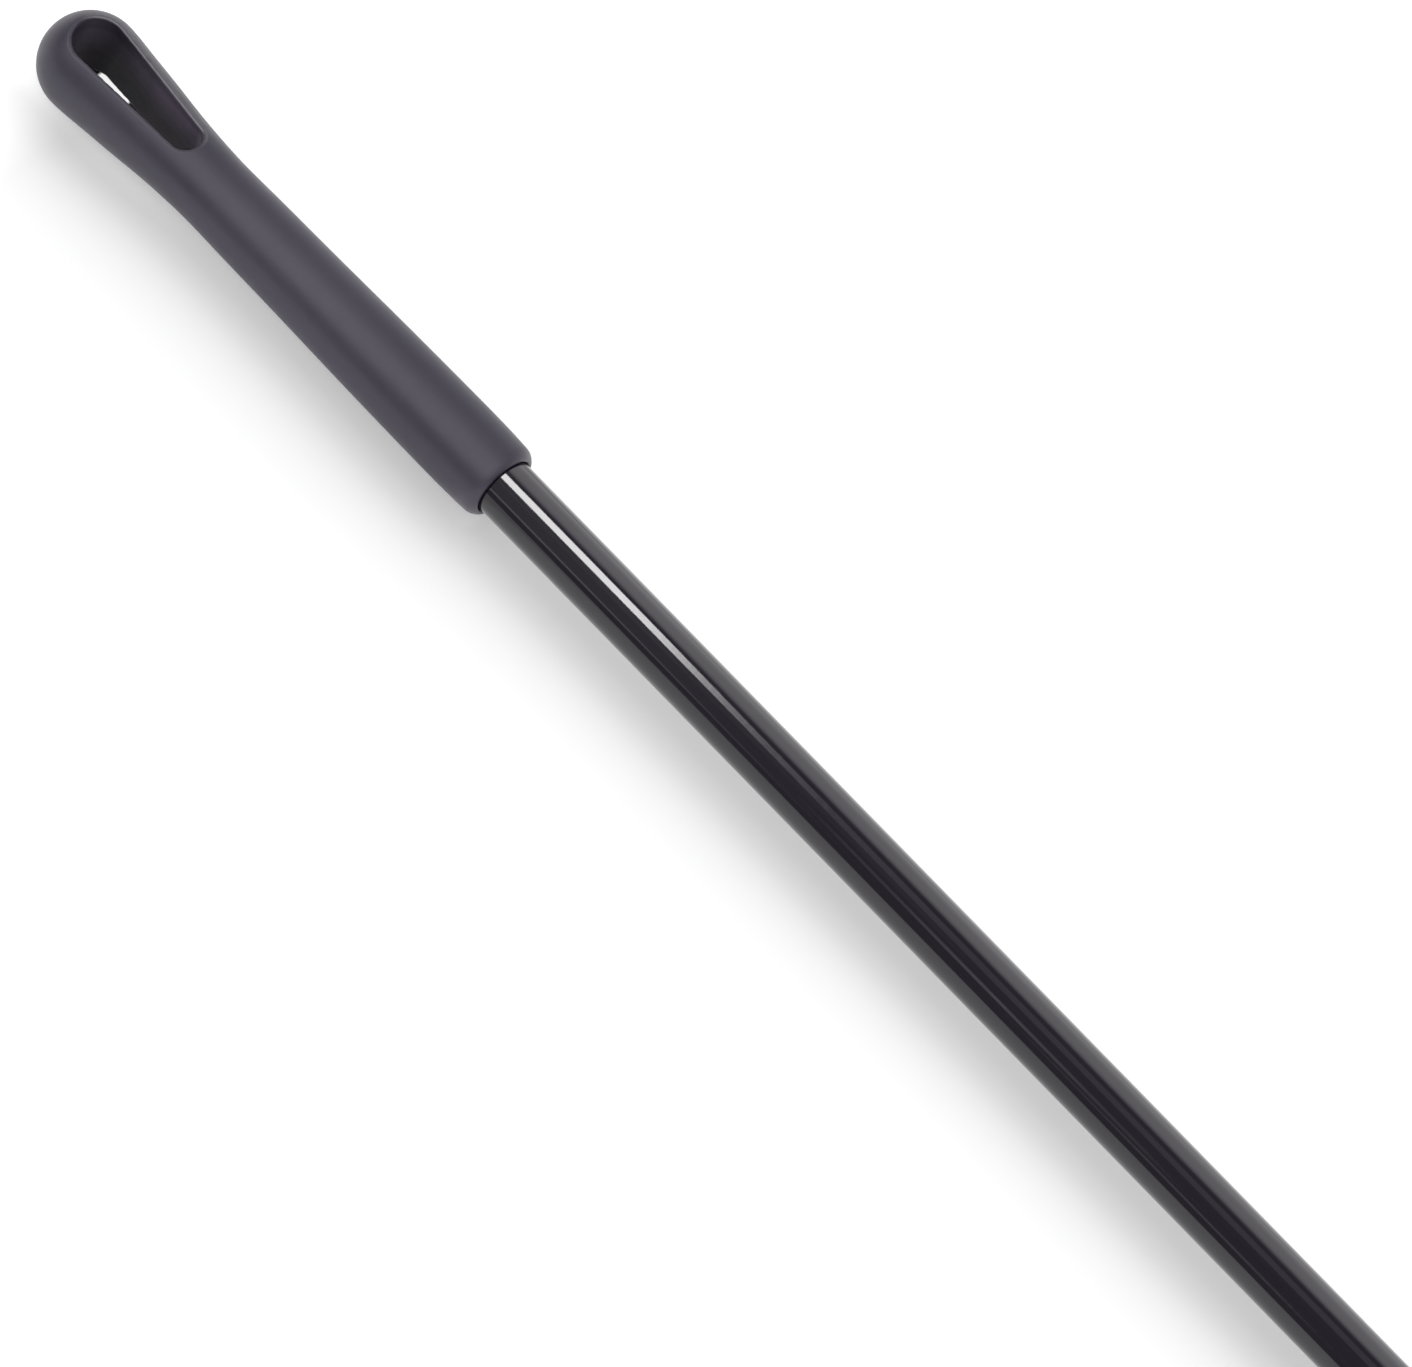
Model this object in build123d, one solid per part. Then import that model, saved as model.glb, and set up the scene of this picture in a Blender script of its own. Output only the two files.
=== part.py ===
from build123d import *
import math
import os

# Telescopic roller extension pole, collapsed, lying on the ground along X.
# Every piece is drawn along its own axis s (local +Z), from the butt of the
# grip (s = 0) to the pilot nose of the threaded tip (s = TOTAL). The pole is then
# laid down along +X, centred on X = 0, with local +X facing the ground.
# It rests on the two sides of the hanging eye's rim and on two lobes of the
# lock's sleeve, at z = 0. All sizes are in millimetres.
#
# Name endings: _R radius, _S place along the axis, _S0 and _S1 start and end.

# ---- whole pole and shared fits ----------------------------------------------
TOTAL = 1122.0          # collapsed length, butt to nose
AXIS_Z = 17.55          # height of the pole's axis above the ground
HOLE_GAP = 0.05         # radial clearance of rivet and pin holes

# ---- threaded tip --------------------------------------------------------------
PILOT_R = 6.5
PILOT_LEN = 11.0
PILOT_CHAMFER = 1.5
ACME_MAJOR_R = 9.40     # 3/4 in - 5 Acme, with running allowance
ACME_MINOR_R = 6.80
ACME_PITCH = 5.08
ACME_LEN = 28.0
ACME_CREST_W = 1.88
ACME_FLANK_ANGLE = 14.5
COLLAR_R = 13.6
COLLAR_LEN = 13.0
COLLAR_LAND_R = 9.9     # inner radius of the collar's flat stop face
COLLAR_RECESS = 0.6     # depth of the relief between that face and the thread
ACME_S1 = TOTAL - PILOT_LEN
COLLAR_S1 = ACME_S1 - ACME_LEN
COLLAR_S0 = COLLAR_S1 - COLLAR_LEN
TIP_SHANK_S0 = 1036.0
TIP_RIVET_S = 1066.2

# ---- tubes ---------------------------------------------------------------------
GRIP_BORE_END = 90.0    # blind end of the grip's tube bore
OUTER_R = 12.7
OUTER_WALL = 0.9
OUTER_S0, OUTER_S1 = GRIP_BORE_END + 1.0, 1016.0
OUTER_BORE_R = OUTER_R - OUTER_WALL
STOP_DENT_S = 957.8     # two dents that stop the guide ring at full stroke
STOP_DENT_DEPTH = 0.48
STOP_DENT_BALL_R = 5.0

INNER_R = 11.0
INNER_WALL = 0.8
INNER_S0, INNER_S1 = 118.0, COLLAR_S0
INNER_PLUG_R = INNER_R - INNER_WALL - 0.03      # what fits inside the inner tube

# ---- soft grip -----------------------------------------------------------------
GRIP_LEN = 267.0
GRIP_BULB_R = 21.5      # widest radius, around the hanging eye
GRIP_BULB_S = GRIP_BULB_R                       # the butt is a half sphere
GRIP_BORE_R = OUTER_R + 0.06
GRIP_MOUTH_CHAMFER = (0.7, 0.9)                 # radial, axial
GRIP_LIP_INSET = 3.15   # from the end of the side curve in to the flat lip
GRIP_END_SLOPE = -0.045                         # radius per length, at that end
EYE_WIDE_S, EYE_WIDE_R = 23.0, 10.45            # end of the teardrop near the butt
EYE_NARROW_S, EYE_NARROW_R = 75.1, 6.4
EYE_DRAFT = 1.0         # degrees, opening from the parting plane out
EYE_RIM_FILLET = 2.4

# Side of the grip beyond the bulb: (radius, s)
GRIP_SIDE = [
    (20.5, 35.1), (18.97, 51.8), (17.28, 68.5), (16.16, 85.1), (15.82, 97.0),
    (16.02, 112.0), (16.32, 135.1), (16.62, 158.0), (17.08, 185.0), (17.42, 215.0),
    (17.56, 236.0), (17.5, 250.0), (17.2, 260.5),
]

# ---- lock body: glass-filled nylon socket on the mouth of the outer tube --------
LOCK_S0, LOCK_S1 = 980.0, 1046.0
LOCK_R = 15.2
LOCK_FLANGE_R = 17.2
LOCK_FLANGE_S0, LOCK_FLANGE_S1 = 1005.2, 1010.4
LOCK_SOCKET_R = OUTER_R + 0.03
LOCK_BORE_R = INNER_R + 0.25
LOCK_THREAD_MAJOR_R = 14.6
LOCK_THREAD_MINOR_R = 13.6
LOCK_THREAD_PITCH = 4.0
LOCK_THREAD_S0, LOCK_THREAD_S1 = 1019.0, 1041.0
LOCK_RIDGE_ROOT_W, LOCK_RIDGE_CREST_W = 2.1, 1.0
SEAT_R = 12.6           # mouth radius of the conical seat
SEAT_DEPTH = 9.0
SEAT_SLOPE = (SEAT_R - LOCK_BORE_R) / SEAT_DEPTH
SEAT_S0 = LOCK_S1 - SEAT_DEPTH

RIVET_S = 996.0
RIVET_R = 1.6
RIVET_HEAD_R, RIVET_HEAD_T = 2.8, 0.95
RIVET_INNER_Y = 11.48   # inner end of the lock rivets
RIVET_SEAT_Y = 15.0     # flat the heads sit on
RIVET_SEAT_R, RIVET_SEAT_LEN = 3.1, 6.0

# ---- clamp ring, washer and nut --------------------------------------------------
CLAMP_BORE_R = INNER_R + 0.06
CLAMP_SEAT_GAP = 0.06
CLAMP_S0, CLAMP_S1 = SEAT_S0 + 3.6, LOCK_S1 + 3.0
CLAMP_SLOT_W = 2.2      # through slot
CLAMP_GROOVE_W, CLAMP_GROOVE_LEN = 1.4, 7.6     # slots open at the ring's start only

FACE_GAP = 0.05         # either side of the washer
WASHER_R, WASHER_BORE_R = 13.4, 11.2
WASHER_S0 = CLAMP_S1 + FACE_GAP
WASHER_S1 = WASHER_S0 + 1.2

NUT_S0, NUT_S1 = 1011.5, 1062.0
NUT_RIM_R = 17.2
NUT_CORE_R = 16.2       # under the sleeve
NUT_CORE_S0, NUT_CORE_S1 = NUT_S0 + 3.4, NUT_S1 - 16.6
NUT_BORE_R = 11.35
NUT_POCKET_R = 13.75    # room for the washer
NUT_LAND_S = WASHER_S1 + FACE_GAP               # inner shoulder that pushes the washer
NUT_THREAD_GAP = 0.22   # radial
NUT_FLANK_GAP = 0.2     # axial
NUT_THREAD_TURNS = 3.5

SLEEVE_R = 17.78        # mean radius of the soft sleeve
SLEEVE_WAVE = 0.78      # height of its lobes, above and below the mean
SLEEVE_LOBES = 8
SLEEVE_FILLET = 0.85    # rounding of the sleeve's ends
SLEEVE_S0, SLEEVE_S1 = NUT_CORE_S0 + 0.1, NUT_CORE_S1 - 0.1

# ---- guide at the inner tube's lower end -----------------------------------------
GUIDE_S0 = 103.5
GUIDE_NECK_R = 9.6      # neck that carries the guide ring
GUIDE_NECK_S0, GUIDE_NECK_S1 = GUIDE_S0 + 3.0, INNER_S0 - 2.6
GUIDE_RING_R = OUTER_BORE_R - 0.06
GUIDE_RING_BORE_R = GUIDE_NECK_R + 0.1
GUIDE_RING_S0, GUIDE_RING_S1 = GUIDE_NECK_S0 + 0.1, GUIDE_NECK_S1 - 0.1
GUIDE_SLIT_W, GUIDE_SLIT_ANGLE = 1.6, 18
PIN_S = 134.0
PIN_R = 1.5


# ---- helpers -----------------------------------------------------------------------
def lay(shape):
    """Turn the local s axis (+Z) to +X and lift it to its height."""
    return Pos(-TOTAL / 2, 0, AXIS_Z) * Rot(0, 90, 0) * shape


def rod(radius, start, end):
    return Pos(0, 0, (start + end) / 2) * Cylinder(radius, end - start)


def tube(radius, bore_r, start, end):
    return rod(radius, start, end) - rod(bore_r, start - 1, end + 1)


def cross_bar(radius, length, place, y=0):
    """Cylinder along Y, centred at y and at s = place."""
    return Pos(0, y, place) * Rot(90, 0, 0) * Cylinder(radius, length)


def turned(points):
    """Solid of revolution about the s axis from (radius, s) corners."""
    wire = Polyline(*[(radius, 0, place) for radius, place in points], close=True)
    return revolve(make_face(wire), Axis.Z, 360)


def helical_ridge(root_r, crest_r, pitch, start, end, root_w, crest_w):
    """Trapezoid ridge wound on a helix at root_r, facing out or in to crest_r."""
    path = Pos(0, 0, start) * Helix(pitch, end - start, root_r)
    origin = path @ 0
    frame = Plane(origin=origin, x_dir=Vector(origin.X, origin.Y, 0), z_dir=path % 0)
    depth = crest_r - root_r
    sunk = -math.copysign(0.35, depth)      # the root is buried in its wall
    section = frame * make_face(
        Polyline(
            (sunk, -root_w / 2), (depth, -crest_w / 2),
            (depth, crest_w / 2), (sunk, root_w / 2), close=True
        )
    )
    return sweep(section, path=path, is_frenet=True)


def cut_flutes(body, count, centre_r, place, radius, length):
    """Cut a ring of shallow round hollows, parallel to the axis."""
    for i in range(count):
        angle = 2 * math.pi * (i + 0.5) / count
        x, y = math.cos(angle) * centre_r, math.sin(angle) * centre_r
        body = body - Pos(x, y, place) * Cylinder(radius, length)
    return body


# ---- grip --------------------------------------------------------------------------
def grip_body():
    side = Spline(
        (GRIP_BULB_R, 0, GRIP_BULB_S),
        *[(radius, 0, place) for radius, place in GRIP_SIDE],
        tangents=[(0, 0, 1), (GRIP_END_SLOPE, 0, 1)],
    )
    dome_points = []
    for i in range(9):
        angle = math.radians(90.0 * i / 8)
        dome_points.append(
            (GRIP_BULB_R * math.sin(angle), 0, GRIP_BULB_S * (1 - math.cos(angle)))
        )
    dome = Spline(*dome_points, tangents=[(1, 0, 0), (0, 0, 1)])
    side_end = side @ 1
    lip_r = side_end.X - GRIP_LIP_INSET
    corner = Spline(
        (side_end.X, 0, side_end.Z),
        (side_end.X - 0.35, 0, side_end.Z + 3.3),
        (side_end.X - 1.5, 0, GRIP_LEN - 1.15),
        (lip_r, 0, GRIP_LEN),
        tangents=[(GRIP_END_SLOPE, 0, 1), (-1, 0, 0)],
    )
    chamfer_r, chamfer_s = GRIP_MOUTH_CHAMFER
    bore = Polyline(
        (lip_r, 0, GRIP_LEN), (GRIP_BORE_R + chamfer_r, 0, GRIP_LEN),
        (GRIP_BORE_R, 0, GRIP_LEN - chamfer_s), (GRIP_BORE_R, 0, GRIP_BORE_END),
        (0, 0, GRIP_BORE_END), (0, 0, 0),
    )
    face = make_face([dome, side, corner, bore])
    # the seam is turned to +Y, away from the eye's openings on +X and -X
    return Rot(0, 0, 90) * revolve(face, Axis.Z, 360)


def eye_half():
    """Teardrop cutter from the parting plane (YZ) out along +X."""
    # The straight sides are tangent to both end circles.
    sine = (EYE_WIDE_R - EYE_NARROW_R) / (EYE_NARROW_S - EYE_WIDE_S)
    cosine = math.sqrt(1 - sine * sine)
    wide = (EYE_WIDE_S + EYE_WIDE_R * sine, EYE_WIDE_R * cosine)
    narrow = (EYE_NARROW_S + EYE_NARROW_R * sine, EYE_NARROW_R * cosine)
    wide_opposite = (wide[0], -wide[1])
    narrow_opposite = (narrow[0], -narrow[1])
    outline = [
        Line(wide, narrow),
        ThreePointArc(narrow, (EYE_NARROW_S + EYE_NARROW_R, 0), narrow_opposite),
        Line(narrow_opposite, wide_opposite),
        ThreePointArc(wide_opposite, (EYE_WIDE_S - EYE_WIDE_R, 0), wide),
    ]
    plane = Plane(origin=(0, 0, 0), x_dir=(0, 0, 1), z_dir=(1, 0, 0))
    return extrude(plane * make_face(outline), amount=30, taper=-EYE_DRAFT)


def make_grip():
    half = eye_half()
    body = grip_body() - half - mirror(half, Plane.YZ)
    rim = [
        edge for edge in body.edges()
        if 8 < edge.center().Z < 84 and abs(edge.center().X) > 10
    ]
    return fillet(rim, EYE_RIM_FILLET)


# ---- tubes -------------------------------------------------------------------------
def make_outer_tube():
    body = tube(OUTER_R, OUTER_BORE_R, OUTER_S0, OUTER_S1)
    for side in (1, -1):
        ball_y = side * (OUTER_R - STOP_DENT_DEPTH + STOP_DENT_BALL_R)
        # the wall pushed inwards, then the hollow outside it
        bump = Pos(0, ball_y, STOP_DENT_S) * Sphere(STOP_DENT_BALL_R + OUTER_WALL)
        bump = bump & rod(OUTER_R - OUTER_WALL / 2, STOP_DENT_S - 9, STOP_DENT_S + 9)
        body = body + bump
        body = body - Pos(0, ball_y, STOP_DENT_S) * Sphere(STOP_DENT_BALL_R)
    for side in (1, -1):
        body = body - cross_bar(RIVET_R + HOLE_GAP, 6, RIVET_S, y=side * OUTER_R)
    return body


def make_inner_tube():
    body = tube(INNER_R, INNER_R - INNER_WALL, INNER_S0, INNER_S1)
    body = body - cross_bar(RIVET_R + HOLE_GAP, 40, TIP_RIVET_S)
    return body - cross_bar(PIN_R + HOLE_GAP, 40, PIN_S)


# ---- twist lock ----------------------------------------------------------------------
def make_lock_body():
    shell = turned([
        (LOCK_SOCKET_R, LOCK_S0), (LOCK_R - 1.2, LOCK_S0), (LOCK_R, LOCK_S0 + 1.6),
        (LOCK_R + 0.3, LOCK_FLANGE_S0 - 1.6), (LOCK_FLANGE_R, LOCK_FLANGE_S0),
        (LOCK_FLANGE_R, LOCK_FLANGE_S1 - 0.8), (LOCK_FLANGE_R - 0.8, LOCK_FLANGE_S1),
        (LOCK_THREAD_MINOR_R, LOCK_FLANGE_S1), (LOCK_THREAD_MINOR_R, LOCK_S1 - 0.8),
        (LOCK_THREAD_MINOR_R - 0.4, LOCK_S1), (SEAT_R, LOCK_S1), (LOCK_BORE_R, SEAT_S0),
        (LOCK_BORE_R, OUTER_S1), (LOCK_SOCKET_R, OUTER_S1),
    ])
    body = shell + helical_ridge(
        LOCK_THREAD_MINOR_R, LOCK_THREAD_MAJOR_R, LOCK_THREAD_PITCH,
        LOCK_THREAD_S0, LOCK_THREAD_S1, LOCK_RIDGE_ROOT_W, LOCK_RIDGE_CREST_W,
    )
    body = cut_flutes(
        body, count=12, centre_r=LOCK_R + 2.3, place=LOCK_S0 + 7.0, radius=2.75, length=8.4
    )
    for side in (1, -1):
        body = body - cross_bar(RIVET_R + HOLE_GAP, 8, RIVET_S, y=side * 14.5)
        seat_y = side * (RIVET_SEAT_Y + RIVET_SEAT_LEN / 2)
        body = body - cross_bar(RIVET_SEAT_R, RIVET_SEAT_LEN, RIVET_S, y=seat_y)
    return body


def make_lock_rivets():
    """Two dome-headed rivets, on +Y and -Y."""
    head_y = RIVET_SEAT_Y + 0.03
    shank = cross_bar(
        RIVET_R, head_y - RIVET_INNER_Y, RIVET_S, y=(RIVET_INNER_Y + head_y) / 2
    )
    ball_r = (RIVET_HEAD_R ** 2 + RIVET_HEAD_T ** 2) / (2 * RIVET_HEAD_T)
    ball = Pos(0, head_y + RIVET_HEAD_T - ball_r, RIVET_S) * Sphere(ball_r)
    head = ball & cross_bar(
        RIVET_HEAD_R + 1, RIVET_HEAD_T, RIVET_S, y=head_y + RIVET_HEAD_T / 2
    )
    rivet = shank + head
    return Compound(children=[rivet.solids()[0], (Rot(0, 0, 180) * rivet).solids()[0]])


def make_clamp_ring():
    seat_r = SEAT_R - CLAMP_SEAT_GAP        # ring's radius at the mouth of the seat
    start_r = LOCK_BORE_R + SEAT_SLOPE * (CLAMP_S0 - SEAT_S0) - CLAMP_SEAT_GAP
    top_r = seat_r + SEAT_SLOPE * 1.0
    ring = turned([
        (CLAMP_BORE_R, CLAMP_S0), (start_r, CLAMP_S0), (seat_r, LOCK_S1),
        (top_r, LOCK_S1 + 1.0), (top_r, CLAMP_S1 - 0.4), (top_r - 0.4, CLAMP_S1),
        (CLAMP_BORE_R, CLAMP_S1),
    ])
    ring = ring - Pos(15, 0, LOCK_S1) * Box(30, CLAMP_SLOT_W, 40)
    for angle in (90, 180, 270):
        groove = Pos(15, 0, CLAMP_S0 + 0.5) * Box(30, CLAMP_GROOVE_W, CLAMP_GROOVE_LEN)
        ring = ring - Rot(0, 0, angle) * groove
    return ring


def make_slip_washer():
    return tube(WASHER_R, WASHER_BORE_R, WASHER_S0, WASHER_S1)


def make_lock_nut():
    thread_bore_r = LOCK_THREAD_MAJOR_R + NUT_THREAD_GAP
    shell = turned([
        (thread_bore_r, NUT_S0), (NUT_RIM_R - 0.5, NUT_S0), (NUT_RIM_R, NUT_S0 + 0.6),
        (NUT_RIM_R, NUT_CORE_S0 - 0.6), (NUT_CORE_R, NUT_CORE_S0),
        (NUT_CORE_R, NUT_CORE_S1), (NUT_RIM_R, NUT_CORE_S1 + 0.6),
        (NUT_RIM_R, NUT_S1 - 13.4), (15.0, NUT_S1 - 1.6), (13.8, NUT_S1), (12.2, NUT_S1),
        (NUT_BORE_R, NUT_S1 - 1.0), (NUT_BORE_R, NUT_LAND_S), (NUT_POCKET_R, NUT_LAND_S),
        (NUT_POCKET_R, NUT_LAND_S - 2.4), (thread_bore_r, NUT_LAND_S - 3.9),
    ])
    # inward ridge, half a pitch out of step with the lock body's ridge
    pitch = LOCK_THREAD_PITCH
    ridge_start = LOCK_THREAD_S0 + pitch / 2
    return shell + helical_ridge(
        thread_bore_r, LOCK_THREAD_MINOR_R + NUT_THREAD_GAP, pitch,
        ridge_start, ridge_start + NUT_THREAD_TURNS * pitch,
        pitch - LOCK_RIDGE_CREST_W - NUT_FLANK_GAP,
        pitch - LOCK_RIDGE_ROOT_W - NUT_FLANK_GAP,
    )


def make_nut_sleeve():
    points = []
    count = 8 * SLEEVE_LOBES
    for i in range(count):
        angle = 2 * math.pi * i / count
        radius = SLEEVE_R - SLEEVE_WAVE * math.cos(SLEEVE_LOBES * angle)
        points.append((radius * math.cos(angle), radius * math.sin(angle), SLEEVE_S0))
    face = make_face(Spline(*points, periodic=True))
    bar = extrude(face, amount=SLEEVE_S1 - SLEEVE_S0)
    ends = [
        edge for edge in bar.edges()
        if min(abs(edge.center().Z - SLEEVE_S0), abs(edge.center().Z - SLEEVE_S1)) < 0.01
    ]
    bar = fillet(ends, SLEEVE_FILLET)
    return bar - rod(NUT_CORE_R + 0.02, SLEEVE_S0 - 1, SLEEVE_S1 + 1)


# ---- guide ---------------------------------------------------------------------------
def make_guide_plug():
    plug = turned([
        (0, GUIDE_S0), (INNER_R - 0.8, GUIDE_S0), (INNER_R, GUIDE_S0 + 0.8),
        (INNER_R, GUIDE_NECK_S0), (GUIDE_NECK_R, GUIDE_NECK_S0),
        (GUIDE_NECK_R, GUIDE_NECK_S1), (INNER_R, GUIDE_NECK_S1), (INNER_R, INNER_S0),
        (INNER_PLUG_R, INNER_S0), (INNER_PLUG_R, 149.0), (9.0, 151.0), (7.2, 151.0),
        (7.2, 140.0), (0, 140.0),
    ])
    return plug - cross_bar(PIN_R + HOLE_GAP, 40, PIN_S)


def make_plug_pin():
    return cross_bar(PIN_R, 2 * INNER_R - 0.5, PIN_S)


def make_guide_ring():
    """Ring split by one slanted slit."""
    start, end = GUIDE_RING_S0, GUIDE_RING_S1
    ring = turned([
        (GUIDE_RING_BORE_R, start), (GUIDE_RING_R - 0.5, start),
        (GUIDE_RING_R, start + 0.8), (GUIDE_RING_R, end - 0.8),
        (GUIDE_RING_R - 0.5, end), (GUIDE_RING_BORE_R, end),
    ])
    slit = Rot(GUIDE_SLIT_ANGLE, 0, 0) * Box(30, GUIDE_SLIT_W, 30)
    return ring - Pos(15, 0, (start + end) / 2) * slit


# ---- threaded tip ----------------------------------------------------------------------
def make_thread_tip():
    recess_s = COLLAR_S1 - COLLAR_RECESS
    core = turned([
        (0, TIP_SHANK_S0), (9.2, TIP_SHANK_S0), (INNER_PLUG_R, TIP_SHANK_S0 + 2.0),
        (INNER_PLUG_R, COLLAR_S0), (COLLAR_R - 1.0, COLLAR_S0), (COLLAR_R, COLLAR_S0 + 1.0),
        (COLLAR_R, COLLAR_S1 - 3.2), (COLLAR_R - 1.6, COLLAR_S1),
        (COLLAR_LAND_R, COLLAR_S1), (COLLAR_LAND_R, recess_s), (ACME_MINOR_R, recess_s),
        (ACME_MINOR_R, ACME_S1), (PILOT_R, ACME_S1), (PILOT_R, TOTAL - PILOT_CHAMFER),
        (PILOT_R - PILOT_CHAMFER, TOTAL), (0, TOTAL),
    ])
    flank_w = (ACME_MAJOR_R - ACME_MINOR_R) * math.tan(math.radians(ACME_FLANK_ANGLE))
    ridge = helical_ridge(
        ACME_MINOR_R, ACME_MAJOR_R, ACME_PITCH, COLLAR_S1 - 1.6, ACME_S1 - 0.2,
        ACME_CREST_W + 2 * flank_w, ACME_CREST_W,
    )
    # trims the ridge just inside the collar and to a cone at its far end
    envelope = turned([
        (ACME_MINOR_R - 3, recess_s - 0.4), (12.0, recess_s - 0.4),
        (12.0, ACME_S1 - 3.4), (ACME_MINOR_R + 0.05, ACME_S1), (ACME_MINOR_R - 3, ACME_S1),
    ])
    ridge = ridge & envelope
    tip = cut_flutes(
        core + ridge,
        count=8, centre_r=COLLAR_R + 3.2, place=COLLAR_S0 + 5.6, radius=4.1, length=7.0,
    )
    return tip - cross_bar(RIVET_R + HOLE_GAP, 60, TIP_RIVET_S)


def make_tip_rivet():
    return cross_bar(RIVET_R, 2 * INNER_R + 0.4, TIP_RIVET_S)


PIECES = {
    "grip": make_grip,
    "outer_tube": make_outer_tube,
    "inner_tube": make_inner_tube,
    "lock_body": make_lock_body,
    "lock_rivets": make_lock_rivets,
    "clamp_ring": make_clamp_ring,
    "slip_washer": make_slip_washer,
    "lock_nut": make_lock_nut,
    "nut_sleeve": make_nut_sleeve,
    "guide_plug": make_guide_plug,
    "plug_pin": make_plug_pin,
    "guide_ring": make_guide_ring,
    "thread_tip": make_thread_tip,
    "tip_rivet": make_tip_rivet,
}

if __name__ == "__main__":
    os.makedirs("parts", exist_ok=True)
    for name, build in PIECES.items():
        export_step(lay(build()), f"parts/{name}.step")
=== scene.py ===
# A telescoping pole: soft grip with a hanging eye, glossy outer tube, twist lock,
# bare inner tube and threaded tip. It lies along X with its middle at x = 0, the butt
# towards -X and the tip towards +X, and its axis AXIS_Z above the floor.
import math

import bmesh
import bpy
import numpy as np
from mathutils import Matrix, Vector


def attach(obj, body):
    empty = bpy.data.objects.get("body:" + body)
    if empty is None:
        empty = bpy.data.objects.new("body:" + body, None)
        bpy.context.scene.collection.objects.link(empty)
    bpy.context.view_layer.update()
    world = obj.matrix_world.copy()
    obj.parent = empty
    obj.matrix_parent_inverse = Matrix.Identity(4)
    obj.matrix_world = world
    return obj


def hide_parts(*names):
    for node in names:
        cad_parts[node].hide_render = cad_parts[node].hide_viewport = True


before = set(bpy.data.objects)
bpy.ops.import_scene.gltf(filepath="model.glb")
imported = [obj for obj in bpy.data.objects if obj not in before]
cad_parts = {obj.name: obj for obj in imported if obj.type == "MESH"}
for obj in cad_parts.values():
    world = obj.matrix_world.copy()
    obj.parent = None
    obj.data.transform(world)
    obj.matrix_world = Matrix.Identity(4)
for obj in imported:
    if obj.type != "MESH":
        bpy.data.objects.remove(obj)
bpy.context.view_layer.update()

# ---------------------------------------------------------------- dimensions
# Millimetres in pole coordinates: x down from the axis, y as in the frame,
# s along the axis from the butt; r is the distance from the axis.
TOTAL = 1122.0
AXIS_Z = 17.55
GRIP_LEN, BULB_R = 267.0, 21.5
BORE_R, BORE_END = 12.76, 90.0            # the bore is blind and ends at s = BORE_END

# hanging eye: a tapered slot between a wide and a narrow circle, through the grip along x
EYE_WIDE_S, EYE_WIDE_R = 23.0, 10.45
EYE_NARROW_S, EYE_NARROW_R = 75.1, 6.4
EYE_DRAFT = math.tan(math.radians(1.0))
EYE_RIM = 2.4                             # rounding of the eye's edges
EYE_PAINTED_LIGHT_SPAN = (19.8, 36.9)                   # stretch of table painted bright where it shows through the eye

TUBE_R, TUBE_WALL, TUBE_END = 12.7, 0.9, 1016.0
DENT_S, DENT_DEPTH, DENT_BALL = 957.8, 0.48, 5.0
INNER_R, INNER_WALL = 11.0, 0.8

LOCK_R = 15.2
LOCK_THREAD_R, LOCK_PITCH, LOCK_THREAD_DEPTH = 13.6, 4.0, 1.0
RIVET_S = 996.0
RIVET_Y0, RIVET_Y1 = 11.48, 15.03         # inner end of the shank, underside of the head
RIVET_HEAD_R, RIVET_HEAD_H, RIVET_SHANK_R = 2.8, 0.95, 1.6
SPOT_Y, SPOT_R = 15.0, 3.1                # flat faces under the rivet heads

NUT_S0, NUT_S1, NUT_LAND = 1011.5, 1062.0, 1050.3
NUT_BORE_R = 14.82
SLEEVE_S0, SLEEVE_S1, SLEEVE_ROUND = NUT_S0 + 3.5, NUT_S1 - 16.7, 0.85
SLEEVE_R, SLEEVE_LOBE, SLEEVE_LOBES = 17.78, 0.78, 8

TIP_COLLAR_R = 13.6
TIP_CORE_R, TIP_PITCH, TIP_THREAD_DEPTH, TIP_CREST = 6.8, 5.08, 2.6, 1.88
TIP_FLANK = math.tan(math.radians(14.5))


def row_x(s):
    """Place along the pole in mm to the frame's x in metres."""
    return (s - TOTAL / 2) / 1000.0


def world_xyz(x, y, s):
    """Pole coordinates in mm to the frame in metres."""
    return np.stack([row_x(s), y / 1000.0, (AXIS_Z - x) / 1000.0], axis=-1)


# ---------------------------------------------------------------- profiles and meshes
def clamped_spline(points, start_dir, end_dir, steps):
    """C2 cubic through 2-D points with given end directions, chord-length parameter."""
    p = np.array(points, float)
    chord = np.linalg.norm(np.diff(p, axis=0), axis=1)
    count = len(p)
    system = np.zeros((count, count))
    target = np.zeros((count, 2))
    system[0, 0] = system[-1, -1] = 1.0
    target[0] = np.array(start_dir, float) / np.linalg.norm(start_dir)
    target[-1] = np.array(end_dir, float) / np.linalg.norm(end_dir)
    for i in range(1, count - 1):
        before, after = chord[i - 1], chord[i]
        system[i, i - 1:i + 2] = after, 2 * (before + after), before
        target[i] = 3 * (after * (p[i] - p[i - 1]) / before + before * (p[i + 1] - p[i]) / after)
    tangent = np.linalg.solve(system, target)
    curve = []
    for i in range(count - 1):
        for k in range(steps):
            t = k / steps
            curve.append((2 * t ** 3 - 3 * t ** 2 + 1) * p[i]
                         + (t ** 3 - 2 * t ** 2 + t) * chord[i] * tangent[i]
                         + (-2 * t ** 3 + 3 * t ** 2) * p[i + 1]
                         + (t ** 3 - t ** 2) * chord[i] * tangent[i + 1])
    curve.append(p[-1])
    return np.array(curve)


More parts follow.
